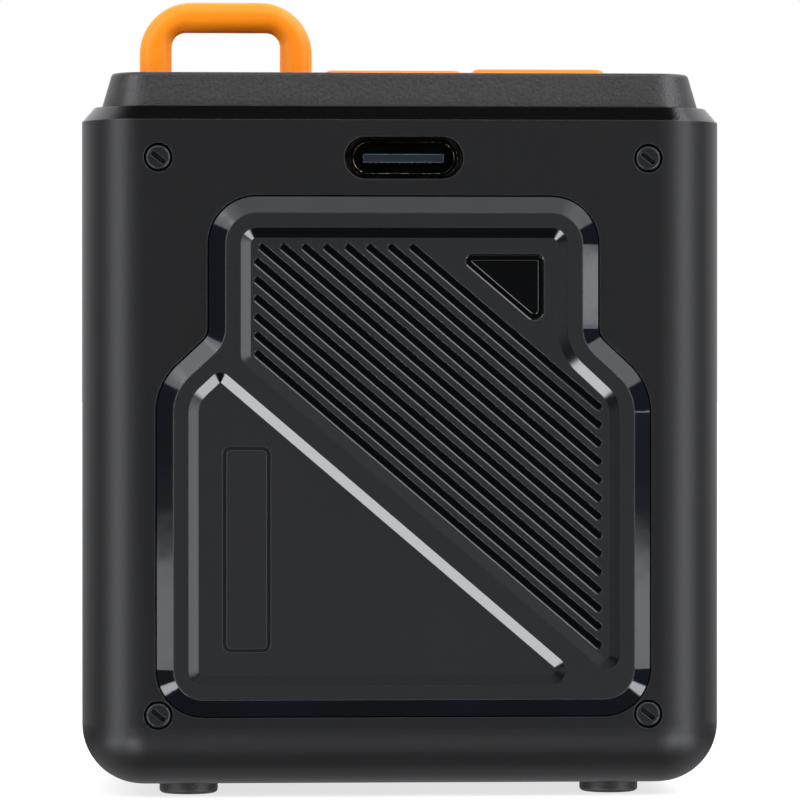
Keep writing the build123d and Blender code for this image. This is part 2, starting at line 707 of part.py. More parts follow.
def radiator_clamp():
    """Frame behind the surround's flange, with a boss for each rear screw."""
    plate = rounded_rectangle((-22.9, 22.9), (4.7, 51.2), 3.0)
    plate -= inset_outline(PANEL_CORNERS, PANEL_RADII, BAND)
    for side in (-1, 1):
        ear_x = sorted((side * (REAR_SCREW_X - CLAMP_BOSS_RADIUS), side * (REAR_SCREW_X + CLAMP_BOSS_RADIUS)))
        ear_z = (48.0, REAR_SCREW_Z[1] + CLAMP_BOSS_RADIUS)
        plate += rounded_rectangle(ear_x, ear_z, CLAMP_BOSS_RADIUS - 0.05)
    clamp = slab_y(plate, CLAMP_Y)
    flank = slab_y(inset_outline(PANEL_CORNERS, PANEL_RADII, -0.05), (REAR_INSIDE, CLAMP_Y[0]))
    for x, z in rear_screw_places():
        clamp += rod_y(x, z, CLAMP_BOSS_RADIUS, (REAR_INSIDE, -11.0)) - flank
    for x, z in rear_screw_places():
        clamp -= rod_y(x, z, SHANK_RADIUS, (REAR_INSIDE - 1, -11.5))
    for x, z in tray_screw_places():
        clamp -= rod_y(x, z, SHANK_RADIUS, (-15.2, CLAMP_Y[1] + 1))
    return clamp & body_inside(SPLIT_Y)


# ---- Battery ----

def tray_screw_places():
    return [(side * TRAY_SCREW_X, z) for z in TRAY_SCREW_Z for side in (-1, 1)]


def battery_tray():
    """Open plate with side lips, on four feet that stand on the clamp frame."""
    plate = rounded_rectangle((-17.0, 17.0), (9.0, 45.0), 2.0)
    for x_range in ((-13.5, -1.5), (1.5, 13.5)):
        plate -= rounded_rectangle(x_range, (13.0, 41.0), 1.5)
    tray = slab_y(plate, TRAY_Y)
    for side in (-1, 1):
        lip_x = sorted((side * (CELL_X + 0.1), side * (CELL_X + 1.1)))
        tray += block(lip_x, (TRAY_Y[0], -8.0), (16.0, 38.0))
    for x, z in tray_screw_places():
        arm = block(sorted((x, math.copysign(15.5, x))), TRAY_Y, (z - 1.6, z + 1.6))
        tray += arm + rod_y(x, z, 1.6, (CLAMP_Y[1], TRAY_Y[1]))
    for x, z in tray_screw_places():
        tray -= rod_y(x, z, SHANK_RADIUS + 0.1, (CLAMP_Y[1] - 1, TRAY_Y[1] + 1))
    return tray


def tray_screws():
    return [facing_front(cross_screw(1.1, 0.7, 2.9), x, TRAY_Y[1], z) for x, z in tray_screw_places()]


def battery_cell():
    """Flat lithium pouch cell with round edges."""
    cell = block((-CELL_X, CELL_X), CELL_Y, CELL_Z)
    cell = fillet(cell.edges().filter_by(Axis.Z), 2.0)
    return fillet(cell.edges().group_by(Axis.Z)[0], 0.8)


def battery_spacer():
    return block((-13.0, 13.0), (TRAY_Y[1], CELL_Y[0]), (41.2, 42.8)) + block(
        (-13.0, 13.0), (TRAY_Y[1], CELL_Y[0]), (11.2, 12.8)
    ) + block((-1.2, 1.2), (TRAY_Y[1], CELL_Y[0]), (12.5, 41.5))


def battery_leads():
    """Two short wires from the cell's top to its socket under the board."""
    made = []
    for x in (-4.3, -2.7):
        route = [(x, -8.7, CELL_Z[1]), (x, -8.7, 45.4), (x, -6.2, 48.2), (x, -6.2, BOARD_Z[0] - 2.0)]
        made.append(tube(route, 0.4, 2.5))
    return made


# ---- Main board and its parts ----

def main_board():
    """Board under the ceiling, notched for the socket that is sunk into it."""
    board = block((-BOARD_X, BOARD_X), BOARD_Y, BOARD_Z)
    board = fillet(board.edges().filter_by(Axis.Z), 1.0)
    board -= block((-4.6, 4.6), (BOARD_Y[0] - 1, SHELL_Y[1] + 0.1), (50, 56))
    for x, y in board_screw_places():
        board -= rod_z(x, y, SHANK_RADIUS + 0.1, (50, 56))
    return board


def board_screws():
    return [from_below(cross_screw(1.1, 0.7, 2.6), x, y, BOARD_Z[0]) for x, y in board_screw_places()]


def around(middle, size):
    return (middle - size / 2, middle + size / 2)


def on_board(x, y, width, depth, height):
    """A part soldered on top of the main board."""
    return block(around(x, width), around(y, depth), (BOARD_Z[1], BOARD_Z[1] + height))


def under_board(x, y, width, depth, height):
    """A part soldered to the underside of the main board."""
    return block(around(x, width), around(y, depth), (BOARD_Z[0] - height, BOARD_Z[0]))


def inductors():
    made = []
    for x in (-9.5, -5.0):
        coil = on_board(x, 2.5, 3.0, 3.0, 1.2)
        made.append(fillet(coil.edges().filter_by(Axis.Z), 0.6))
    return made


def capacitors():
    return [on_board(x, -7.5, 1.2, 2.0, 1.1) for x in (-13.0, -11.0, -9.0, 9.0, 11.0)]


def board_link():
    """Flat cable that stands between the two boards."""
    return block((7.0, 13.0), (6.0, 6.3), (BOARD_Z[1], KEY_BOARD_TOP - KEY_BOARD_THICK))


def usb_shell():
    """Drawn steel shell of the socket, open at the rear face and closed inside."""
    outside = slab_y(Pos(0, SOCKET_Z) * SlotOverall(*SHELL_OUTSIDE), SHELL_Y)
    inside = slab_y(Pos(0, SOCKET_Z) * SlotOverall(*SHELL_INSIDE), (SHELL_Y[0] - 1, SHELL_Y[1] - 0.3))
    return outside - inside


def usb_tongue():
    """Moulded tongue with the block that it grows out of."""
    half_width = TONGUE[0] / 2
    half_height = TONGUE[1] / 2
    blade = block((-half_width, half_width), (-17.0, -12.2), (SOCKET_Z - half_height, SOCKET_Z + half_height))
    root = slab_y(Pos(0, SOCKET_Z) * SlotOverall(*SHELL_INSIDE), (-12.2, SHELL_Y[1] - 0.3))
    return blade + root


def usb_contacts():
    """Twelve gilt contacts on each face of the tongue."""
    made = []
    for face in (-1, 1):
        for index in range(12):
            x = (index - 5.5) * 0.5
            z_range = sorted((SOCKET_Z + face * TONGUE[1] / 2, SOCKET_Z + face * (TONGUE[1] / 2 + 0.05)))
            made.append(block((x - 0.12, x + 0.12), (-16.6, -12.4), z_range))
    return made


def usb_seal():
    """Rubber collar between the socket's shell and its hole."""
    outside = Pos(0, SOCKET_Z) * SlotOverall(SOCKET_HOLE[0], SOCKET_HOLE[1])
    return slab_y(outside - Pos(0, SOCKET_Z) * SlotOverall(*SHELL_OUTSIDE), (-17.0, REAR_INSIDE))


def speaker_leads():
    """Two wires from the driver's terminals to their socket under the board."""
    made = []
    for x in (-1.9, 1.9):
        route = [(x, 8.4, DRIVER_Z + 15.2), (x, 8.4, 46.0), (x, 6.2, 48.4), (x, 6.2, BOARD_Z[0] - 2.0)]
        made.append(tube(route, 0.35, 2.5))
    return made


# ---- Front ----

def front_frame():
    """Front bezel and baffle wall in one moulding, with a lip that enters the housing."""
    ahead = block((-BODY_WIDTH, BODY_WIDTH), (SPLIT_Y, BODY_DEPTH), (0, CAP_TOP))
    frame = body_outside() & ahead
    opening = rounded_rectangle((-GRILLE_X, GRILLE_X), GRILLE_Z, GRILLE_CORNER)
    frame -= slab_y(opening, (BAFFLE_FRONT, BODY_DEPTH))
    lip_side = SIDE_INSIDE - 0.08
    lip = Pos(0, (FLOOR + CEILING) / 2) * RectangleRounded(2 * lip_side, CEILING - FLOOR - 0.16, 3.2)
    lip -= Pos(0, (FLOOR + CEILING) / 2) * RectangleRounded(2 * lip_side - 2, CEILING - FLOOR - 2.16, 2.4)
    frame += slab_y(lip, (SPLIT_Y - 1.1, SPLIT_Y))
    for x, z in frame_screw_places():
        frame -= rod_y(x, z, SHANK_RADIUS + 0.1, (SPLIT_Y - 1, BAFFLE_FRONT + 1))
        frame -= rod_y(x, z, 1.4, (BAFFLE_FRONT - 0.8, BAFFLE_FRONT + 1))
    frame -= rod_y(0, DRIVER_Z, DRIVER_HOLE, (SPLIT_Y - 1, BAFFLE_FRONT + 1))
    for x, z in ear_places():
        frame -= rod_y(x, z, SHANK_RADIUS, (SPLIT_Y - 1, BAFFLE_FRONT + 1))
    frame -= gasket_ring(BODY_TOP - 0.4, BODY_TOP + 1)
    return frame - seal_ring((SPLIT_Y, SPLIT_Y + 0.4))


def seal_ring(y_range):
    """The soft ring between the front frame and the housing's edge."""
    outer = rounded_rectangle((-25.9, 25.9), (BODY_BOTTOM + 0.6, BODY_TOP - 1.0), 4.4)
    inner = rounded_rectangle((-25.2, 25.2), (BODY_BOTTOM + 1.3, BODY_TOP - 1.7), 3.7)
    return slab_y(outer - inner, y_range)


def frame_screws():
    seat = BAFFLE_FRONT - 0.8
    return [facing_front(cross_screw(1.2, 0.7, 7.0), x, seat, z) for x, z in frame_screw_places()]


def front_grille():
    """Perforated sheet with a folded rim, in a staggered pattern of round holes."""
    reach = GRILLE_X - 0.1
    low, high = GRILLE_Z[0] + 0.1, GRILLE_Z[1] - 0.1
    sheet = slab_y(rounded_rectangle((-reach, reach), (low, high), GRILLE_CORNER - 0.1), (16.9, GRILLE_FACE))
    sheet = fillet(sheet.edges().group_by(Axis.Y)[-1], 0.5)
    rim = GRILLE_SHEET
    room = rounded_rectangle((-reach + rim, reach - rim), (low + rim, high - rim), GRILLE_CORNER - 0.8)
    sheet -= slab_y(room, (16, GRILLE_FACE - GRILLE_SHEET))
    pitch = 2.3
    row_pitch = pitch * math.sqrt(3) / 2
    middle = sum(GRILLE_Z) / 2
    holes = []
    for row in range(-11, 12):
        shift = pitch / 2 if row % 2 else 0
        for column in range(-9, 10):
            x = column * pitch + shift
            if abs(x) < reach - 1.8:
                holes.append(Pos(x, middle + row * row_pitch) * Circle(0.65))
    return sheet - slab_y(Sketch() + holes, (GRILLE_FACE - 2, GRILLE_FACE + 1))


def grille_cloth():
    """Thin cloth glued behind the grille."""
    reach = GRILLE_X - 0.9
    outline = rounded_rectangle((-reach, reach), (GRILLE_Z[0] + 0.9, GRILLE_Z[1] - 0.9), 2.1)
    return slab_y(outline, (GRILLE_FACE - GRILLE_SHEET - 0.25, GRILLE_FACE - GRILLE_SHEET))


# ---- Driver ----

def ear_places():
    """Screw places on the four corners of the driver's flange."""
    reach = EAR_REACH * math.sqrt(0.5)
    return [(x * reach, DRIVER_Z + z * reach) for x, z in WAYS]


def driver_basket():
    """Pressed steel basket: flange with four ears, windowed wall and spider ledge."""
    y_range = (BAFFLE_FRONT + 0.2, BAFFLE_FRONT + 1.0)
    flange = Pos(0, DRIVER_Z) * Circle(19.0)
    for x, z in ear_places():
        flange += Pos(x, z) * Circle(2.0)
        flange += Pos(0, DRIVER_Z) * Rot(0, 0, math.degrees(math.atan2(z - DRIVER_Z, x))) * Pos(
            19.0, 0) * Rectangle(4.0, 4.0)
    flange -= Pos(0, DRIVER_Z) * Circle(15.2)
    for x, z in ear_places():
        flange -= Pos(x, z) * Circle(SHANK_RADIUS + 0.1)
    basket = slab_y(flange, y_range)
    basket += turned((15.2, 15.6), (16.6, 15.6), (13.6, 9.0), (12.0, 9.0), (12.0, 9.5), (12.6, 9.5))
    basket += turned((12.0, 9.5), (13.8, 9.5), (11.4, 5.2), (9.2, 5.2), (9.2, 6.0), (10.9, 6.0))
    for turn in (0, 90, 180, 270):
        window = block((-5, 5), (9.9, 14.6), (8, 20))
        basket -= Pos(0, 0, DRIVER_Z) * Rot(0, turn, 0) * window
    return basket


def driver_gasket():
    ring = Pos(0, DRIVER_Z) * Circle(19.0) - Pos(0, DRIVER_Z) * Circle(DRIVER_HOLE)
    return slab_y(ring, (BAFFLE_FRONT, BAFFLE_FRONT + 0.2))


def driver_screws():
    seat = BAFFLE_FRONT + 1.0
    return [facing_front(cross_screw(1.2, 0.6, 2.6), x, seat, z) for x, z in ear_places()]


def yoke_cup():
    return turned((0, -2.2), (10.8, -2.2), (10.8, 5.2), (9.2, 5.2), (9.2, -0.4), (0, -0.4))


def drive_magnet():
    return turned((0, -0.4), (7.0, -0.4), (7.0, 3.2), (0, 3.2))


def pole_plate():
    return turned((0, 3.2), (7.3, 3.2), (7.3, 5.2), (0, 5.2))


def coil_former():
    inside = COIL_RADIUS - 0.15
    return turned((inside, 2.2), (COIL_RADIUS, 2.2), (COIL_RADIUS, 11.4), (inside, 11.4))


def coil_winding():
    return turned((COIL_RADIUS, 2.4), (COIL_RADIUS + 0.4, 2.4), (COIL_RADIUS + 0.4, 6.4), (COIL_RADIUS, 6.4))


def spider():
    """Corrugated cloth ring between the coil and the basket's ledge."""
    crest = 0.45
    base = 9.5
    thick = 0.2
    steps = 6
    run = (12.4 - COIL_RADIUS) / steps
    lower = [(COIL_RADIUS + index * run, base + (crest if index % 2 else 0)) for index in range(steps + 1)]
    upper = [(radius, y + thick) for radius, y in reversed(lower)]
    return turned(*lower, *upper)


def cone():
    """Paper cone from the coil's former to the surround."""
    return turned((COIL_RADIUS, 10.6), (14.9, 16.0), (14.9, 16.3), (14.3, 16.3), (COIL_RADIUS, 11.3))


def cone_surround():
    """Rubber half-roll, glued to the cone's edge and to the basket's flange."""
    base = 16.3
    middle = 15.9
    roll = Pos(middle, base) * (Circle(1.1) - Circle(0.85))
    roll &= Pos(middle, base + 2) * Rectangle(4, 4)
    lips = Pos(14.6, base + 0.125) * Rectangle(0.9, 0.25) + Pos(17.4, base + 0.025) * Rectangle(1.3, 0.25)
    return Pos(0, 0, DRIVER_Z) * revolve(roll + lips, axis=Axis.Y)


def dust_cap():
    """Thin dome over the coil, cut from a hollow ball."""
    ball_radius = 21.68
    top = 13.8
    ball = Sphere(ball_radius) - Sphere(ball_radius - 0.25)
    reach = COIL_RADIUS + 2
    keep = block((-reach, reach), (11.9, top + 1), (DRIVER_Z - reach, DRIVER_Z + reach))
    return Pos(0, top - ball_radius, DRIVER_Z) * ball & keep


def driver_terminals():
    """Two solder tags on a small board fixed to the basket."""
    top = DRIVER_Z + 13.6
    board = block((-2.6, 2.6), (7.6, 9.0), (top, top + 1.0))
    return [board] + [block((x - 0.5, x + 0.5), (8.2, 8.6), (top + 1.0, top + 1.6)) for x in (-1.9, 1.9)]


# ---- Every node and its file ----

NODES = {
    "main_housing": main_housing,
    "front_frame": front_frame,
    "front_seal": lambda: seal_ring((SPLIT_Y, SPLIT_Y + 0.4)),
    "front_grille": front_grille,
    "grille_cloth": grille_cloth,
    "feet": feet,
    "rear_screws": rear_screws,
    "frame_screws": frame_screws,
    "top_cap": top_cap,
    "cap_gasket": lambda: gasket_ring(BODY_TOP - 0.4, BODY_TOP),
    "cap_screws": cap_screws,
    "carry_loop": carry_loop,
    "loop_retainer": loop_retainer,
    "loop_screws": loop_screws,
    "key_frame": key_frame,
    "power_key": lambda: push_key("power_key"),
    "play_key": lambda: push_key("play_key"),
    "volume_rocker": volume_rocker,
    "key_board": key_board,
    "key_domes": key_domes,
    "key_board_screws": key_board_screws,
    "status_led": status_led,
    "light_pipe": light_pipe,
    "radiator_panel": radiator_panel,
    "triangle_inlay": triangle_inlay,
    "radiator_mass": radiator_mass,
    "radiator_surround": radiator_surround,
    "radiator_clamp": radiator_clamp,
    "battery_tray": battery_tray,
    "tray_screws": tray_screws,
    "battery_cell": battery_cell,
    "battery_spacer": battery_spacer,
    "battery_leads": battery_leads,
    "main_board": main_board,
    "board_screws": board_screws,
    "amplifier_chip": lambda: on_board(-9.5, -3.0, 4.0, 4.0, 0.8),
    "radio_module": lambda: on_board(8.0, -2.5, 8.0, 6.0, 1.3),
    "inductors": inductors,
    "capacitors": capacitors,
    "battery_socket": lambda: under_board(-3.5, -6.0, 4.0, 3.0, 2.0),
    "speaker_socket": lambda: under_board(0, 6.0, 5.2, 3.0, 2.0),
    "board_link": board_link,
    "usb_shell": usb_shell,
    "usb_tongue": usb_tongue,
    "usb_contacts": usb_contacts,
    "usb_seal": usb_seal,
    "speaker_leads": speaker_leads,
    "driver_basket": driver_basket,
    "driver_gasket": driver_gasket,
    "driver_screws": driver_screws,
    "driver_terminals": driver_terminals,
    "yoke_cup": yoke_cup,
    "drive_magnet": drive_magnet,
    "pole_plate": pole_plate,
    "coil_former": coil_former,
    "coil_winding": coil_winding,
    "spider": spider,
    "cone": cone,
    "cone_surround": cone_surround,
    "dust_cap": dust_cap,
}

os.makedirs("parts", exist_ok=True)
for node, make in NODES.items():
    shape = make()
    if isinstance(shape, list):
        shape = Compound(children=shape)
    export_step(shape, f"parts/{node}.step")
    print(node)
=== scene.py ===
import math

import bmesh
import bpy
from mathutils import Matrix, Vector


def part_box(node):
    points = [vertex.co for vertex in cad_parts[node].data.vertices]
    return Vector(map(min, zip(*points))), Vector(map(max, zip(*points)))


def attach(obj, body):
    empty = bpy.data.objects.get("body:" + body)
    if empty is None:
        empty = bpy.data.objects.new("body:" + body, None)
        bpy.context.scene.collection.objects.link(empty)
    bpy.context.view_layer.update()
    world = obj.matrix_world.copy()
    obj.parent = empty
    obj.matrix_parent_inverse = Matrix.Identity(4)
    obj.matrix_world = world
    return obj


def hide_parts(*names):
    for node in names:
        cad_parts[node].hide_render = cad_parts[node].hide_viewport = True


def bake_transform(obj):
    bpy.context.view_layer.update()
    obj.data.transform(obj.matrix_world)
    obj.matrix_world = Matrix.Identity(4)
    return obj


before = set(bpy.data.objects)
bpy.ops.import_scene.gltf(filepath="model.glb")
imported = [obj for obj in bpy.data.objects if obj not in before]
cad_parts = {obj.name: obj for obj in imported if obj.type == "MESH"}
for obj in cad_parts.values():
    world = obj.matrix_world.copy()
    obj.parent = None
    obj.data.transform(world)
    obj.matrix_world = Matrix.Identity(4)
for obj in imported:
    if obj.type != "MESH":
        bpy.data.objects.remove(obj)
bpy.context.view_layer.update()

# ---- Camera ----
# The speaker stands with its back to a long lens, so its upright edges stay parallel. The lens looks
# from a little to the left of square on, just above the middle of the body's height.

MM = 0.001
EYE_AWAY = 400 * MM
EYE_HEIGHT = 35 * MM
EYE_TURN = math.radians(3.0)
LOOK_ACROSS = -0.33 * MM
LOOK_HEIGHT = 33 * MM
FOCAL_LENGTH = 218
SENSOR_WIDTH = 36
NEAREST_SEEN = 10 * MM

rear_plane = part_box("main_housing")[0].y
look_at = Vector((LOOK_ACROSS, rear_plane, LOOK_HEIGHT))
eye = look_at + Vector((
    -math.sin(EYE_TURN) * EYE_AWAY,
    -math.cos(EYE_TURN) * EYE_AWAY,
    EYE_HEIGHT - LOOK_HEIGHT,
))
long_lens = bpy.data.cameras.new("long_lens")
long_lens.lens = FOCAL_LENGTH
long_lens.sensor_width = SENSOR_WIDTH
long_lens.clip_start = NEAREST_SEEN
camera = bpy.data.objects.new("camera", long_lens)
bpy.context.collection.objects.link(camera)
camera.location = eye
camera.rotation_euler = (look_at - eye).to_track_quat("-Z", "Y").to_euler()
bpy.context.scene.camera = camera
bpy.context.scene.view_settings.view_transform = "Standard"

# ---- Studio light ----
# Soft panels of white cloth stand round the speaker and show as clean shapes in its polished slopes:
# a hood and panels above the front, small cards low at the corners, strips and slots at the sides,
# and white paper behind, below and overhead.


def linear(shade):
    """An sRGB hex colour as the linear one that a shader takes."""
    parts = [int(shade[i:i + 2], 16) / 255 for i in (1, 3, 5)]
    return tuple(p / 12.92 if p <= 0.04045 else ((p + 0.055) / 1.055) ** 2.4 for p in parts) + (1,)


def add(tree, kind, feeds=None, **settings):
    """Adds a node with its settings. Feeds give each socket a value or another node's output."""
    made = tree.nodes.new("ShaderNode" + kind)
    for name, value in settings.items():
        setattr(made, name, value)
    for socket, value in (feeds or {}).items():
        if isinstance(value, bpy.types.NodeSocket):
            tree.links.new(value, made.inputs[socket])
        else:
            made.inputs[socket].default_value = value
    return made


LOW_LEFT = Vector((-0.40, -0.715, -0.57)).normalized()
LOW_RIGHT = Vector((0.48, -0.71, -0.51)).normalized()
HIGH_RIGHT = Vector((0.66, -0.08, 0.75)).normalized()
STRIP_TURN = math.radians(54)
STRIP_MIDDLE = Vector((math.sin(STRIP_TURN), -math.cos(STRIP_TURN), 0))
STRIP_EDGE = math.cos(math.radians(15))
STRIP_CORE = math.cos(math.radians(5))
FILL = 0.06

studio = bpy.data.worlds.new("studio")
bpy.context.scene.world = studio
studio.use_nodes = True
sky = studio.node_tree
sky.nodes.clear()

# The way that a ray of light comes from, as its three parts. Both sides share what is measured
# along side, and the strips are measured on the level, whatever their height.
way = add(sky, "TexCoord").outputs["Generated"]
across, deep, high = add(sky, "SeparateXYZ", {0: way}).outputs
side = add(sky, "Math", {0: across}, operation="ABSOLUTE").outputs[0]
level = add(sky, "CombineXYZ", {0: side, 1: deep}).outputs[0]
level = add(sky, "VectorMath", {0: level}, operation="NORMALIZE").outputs[0]
to_low_left = add(sky, "VectorMath", {0: way, 1: LOW_LEFT}, operation="DOT_PRODUCT").outputs["Value"]
to_low_right = add(sky, "VectorMath", {0: way, 1: LOW_RIGHT}, operation="DOT_PRODUCT").outputs["Value"]
to_high_right = add(sky, "VectorMath", {0: way, 1: HIGH_RIGHT}, operation="DOT_PRODUCT").outputs["Value"]
to_strip = add(sky, "VectorMath", {0: level, 1: STRIP_MIDDLE}, operation="DOT_PRODUCT").outputs["Value"]

# Each panel has a strength and its edges: what is measured, where it is dark and where it is lit.
PANELS = {
    "above in front": (
        1.45, [(high, 0.42, 0.46), (deep, -0.47, -0.43), (deep, -0.19, -0.24)]),
    "above at the front corners": (
        0.9, [(high, 0.42, 0.46), (side, 0.3, 0.65), (deep, -0.47, -0.43), (deep, -0.19, -0.24)]),
    "soft front": (
        0.6, [(high, 0.35, 0.5), (deep, -0.80, -0.76), (deep, -0.60, -0.64)]),
    "hood": (
        5.3, [(high, 0.12, 0.25), (deep, -0.63, -0.59), (deep, -0.46, -0.50)]),
    "low left card": (14.0, [(to_low_left, 0.987, 0.992)]),
    "low right card": (12.0, [(to_low_right, 0.986, 0.991)]),
    "high right card": (5.5, [(to_high_right, 0.94, 0.97), (deep, -0.20, -0.17)]),
    "side strips": (
        3.9, [(to_strip, STRIP_EDGE, STRIP_CORE), (high, 0.75, 0.6), (high, -0.55, -0.4)]),
    "side slots": (
        3.1, [(side, 0.9, 0.92), (deep, -0.45, -0.40), (deep, -0.12, -0.16),
              (high, -0.069, -0.065), (high, -0.034, -0.038)]),
    "right slot": (
        4.6, [(across, 0.9, 0.92), (deep, -0.45, -0.40), (deep, -0.12, -0.16),
              (high, 0.010, 0.013), (high, 0.030, 0.027)]),
    "low side cards": (
        8.0, [(side, 0.68, 0.72), (deep, -0.48, -0.44), (deep, -0.12, -0.16),
              (high, -0.60, -0.56), (high, -0.38, -0.42)]),
    "white wall": (1.1, [(deep, -0.05, 0.45), (high, -0.12, 0.0)]),
    "white table": (0.5, [(high, -0.2, -0.45), (deep, -0.25, 0.15)]),
    "white ceiling behind": (0.7, [(deep, 0.05, 0.35), (high, 0.3, 0.6)]),
}
glow = FILL
for strength, edges in PANELS.values():
    panel = strength
    for measured, dark_at, lit_at in edges:
        window = add(sky, "MapRange", {"Value": measured, "From Min": dark_at, "From Max": lit_at},
                     interpolation_type="SMOOTHSTEP")
        panel = add(sky, "Math", {0: window.outputs[0], 1: panel}, operation="MULTIPLY").outputs[0]
    glow = add(sky, "Math", {0: panel, 1: glow}, operation="ADD").outputs[0]
panel_light = add(sky, "Background", {"Color": linear("#FBFCFF"), "Strength": glow}).outputs[0]
white_paper = add(sky, "Background", {"Color": linear("#FFFFFF"), "Strength": 1.0}).outputs[0]
seen = add(sky, "LightPath").outputs["Is Camera Ray"]
backdrop = add(sky, "MixShader", {0: seen, 1: panel_light, 2: white_paper}).outputs[0]
add(sky, "OutputWorld", {"Surface": backdrop})

# ---- Table ----
# A light table: a sheet of white acrylic, lit from below, so the shadow on it is faint. The low panels
# light the speaker through it.

TABLE_REACH = 6.0
TABLE_GLOW = 0.72
TABLE_HAZE = 60.0


def start_material(name):
    """An empty material, its node tree and its main shader."""
    material = bpy.data.materials.new(name)
    material.use_nodes = True
    tree = material.node_tree
    return material, tree, tree.nodes["Principled BSDF"]


def make_piece(name, shape, material, smooth=False):
    """Turns a finished bmesh into a piece with one material."""
    mesh = bpy.data.meshes.new(name)
    shape.to_mesh(mesh)
    shape.free()
    mesh.materials.append(material)
    for face in mesh.polygons:
        face.use_smooth = smooth
    piece = bpy.data.objects.new(name, mesh)
    bpy.context.collection.objects.link(piece)
    return piece


# Frosted acrylic: it glows evenly to white and keeps only the softest shadow under the feet.
white_acrylic, tree, shader = start_material("white_acrylic")
place = add(tree, "TexCoord").outputs["Object"]
haze = add(tree, "TexNoise", {"Vector": place, "Scale": TABLE_HAZE}).outputs["Fac"]
tone = add(tree, "Mix", {0: haze, 6: linear("#A6A6A6"), 7: linear("#AAAAAA")}, data_type="RGBA")
tree.links.new(tone.outputs[2], shader.inputs["Base Color"])
shader.inputs["Roughness"].default_value = 0.7
shader.inputs["Emission Color"].default_value = linear("#FFFFFF")
shader.inputs["Emission Strength"].default_value = TABLE_GLOW
sheet = bmesh.new()
bmesh.ops.create_grid(sheet, x_segments=1, y_segments=1, size=TABLE_REACH)
table = make_piece("table", sheet, white_acrylic)
table.visible_glossy = False
table.visible_diffuse = False
table.visible_transmission = False
table.visible_shadow = False

# ---- Housing ----
# The rear shell and the front frame are injection-moulded in black ABS and screwed together. The
# mould was spark-eroded, which leaves a fine grain on every face but the narrow polished shoulder.

CLOUD_SIZE = 9 * MM
GRAIN_SPREAD = 0.05
RUBBED_SMOOTHER = 0.1
POLISH_AND_SHADE_FADE = 0.05 * MM
POLISHED_GLOSS = 0.12
SHOULDER_DROP = 1.2 * MM


def moulded(name, dark, light, grain_mm, roughness, grain_height=0.004, edge_mm=0.12, sheen=0.0,
            edge_highlight=None, polish_and_shade_height=None, ior=1.5):
    """Moulded plastic or rubber, lacquer, or pressed paper: a grain, slow clouds and soft edges.

    dark and light are the two tones that the grain and the clouds mix. The grain is grain_mm across and
    grain_height mm high. Edges look rounded by edge_mm, and a painted highlight lightens their colour
    towards edge_highlight, or towards light if it is not given. Above polish_and_shade_height, in metres,
    sloping faces are polished, and their colour is darkened as painted shade.
    """
    material, tree, shader = start_material(name)
    place = add(tree, "TexCoord").outputs["Object"]
    grain = add(tree, "TexNoise", {"Vector": place, "Scale": 1 / (grain_mm * MM), "Detail": 2.0,
                                   "Roughness": 0.65}).outputs["Fac"]
    cloud = add(tree, "TexNoise", {"Vector": place, "Scale": 1 / CLOUD_SIZE, "Detail": 3.0}).outputs["Fac"]
    rounded = add(tree, "Bevel", {"Radius": edge_mm * MM}, samples=4).outputs[0]
    straight = add(tree, "NewGeometry").outputs["Normal"]
    agree = add(tree, "VectorMath", {0: rounded, 1: straight}, operation="DOT_PRODUCT").outputs["Value"]
    edge = add(tree, "MapRange", {"Value": agree, "From Min": 0.995, "From Max": 0.86},
               interpolation_type="SMOOTHSTEP").outputs[0]
    speck = add(tree, "MapRange", {"Value": grain, "From Min": 0.3, "From Max": 0.7}).outputs[0]
    mottle = add(tree, "Mix", {0: 0.35, 2: speck, 3: cloud}).outputs[0]
    tone = add(tree, "Mix", {0: mottle, 6: linear(dark), 7: linear(light)}, data_type="RGBA").outputs[2]
    # Painted highlight: the rounded edges are lightened in colour.
    tone = add(tree, "Mix", {0: edge, 6: tone, 7: linear(edge_highlight or light)}, data_type="RGBA").outputs[2]
    gloss = add(tree, "MapRange", {"Value": grain, "To Min": roughness - GRAIN_SPREAD,
                                   "To Max": roughness + GRAIN_SPREAD}).outputs[0]
    gloss = add(tree, "Mix", {0: edge, 2: gloss, 3: roughness - RUBBED_SMOOTHER}).outputs[0]
    if polish_and_shade_height is not None:
        slope = add(tree, "SeparateXYZ", {0: straight}).outputs[2]
        height = add(tree, "SeparateXYZ", {0: place}).outputs[2]
        sloping = add(tree, "MapRange", {"Value": slope, "From Min": 0.3, "From Max": 0.5}).outputs[0]
        strip = add(tree, "MapRange", {"Value": height, "From Min": polish_and_shade_height,
                                       "From Max": polish_and_shade_height + POLISH_AND_SHADE_FADE}).outputs[0]
        strip = add(tree, "Math", {0: strip, 1: sloping}, operation="MULTIPLY").outputs[0]
        # Painted shade: the polished shoulder is also darkened in colour.
        tone = add(tree, "Mix", {0: strip, 6: tone, 7: linear("#030303")}, data_type="RGBA").outputs[2]
        gloss = add(tree, "Mix", {0: strip, 2: gloss, 3: POLISHED_GLOSS}).outputs[0]
    tree.links.new(tone, shader.inputs["Base Color"])
    tree.links.new(gloss, shader.inputs["Roughness"])
    bump = add(tree, "Bump", {"Height": grain, "Distance": grain_height * MM, "Normal": rounded})
    tree.links.new(bump.outputs[0], shader.inputs["Normal"])
    shader.inputs["Sheen Weight"].default_value = sheen
    shader.inputs["IOR"].default_value = ior
    return material


def dress(material, *nodes):
    """Gives CAD pieces their material."""
    for name in nodes:
        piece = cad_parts[name]
        piece.data.materials.clear()
        piece.data.materials.append(material)


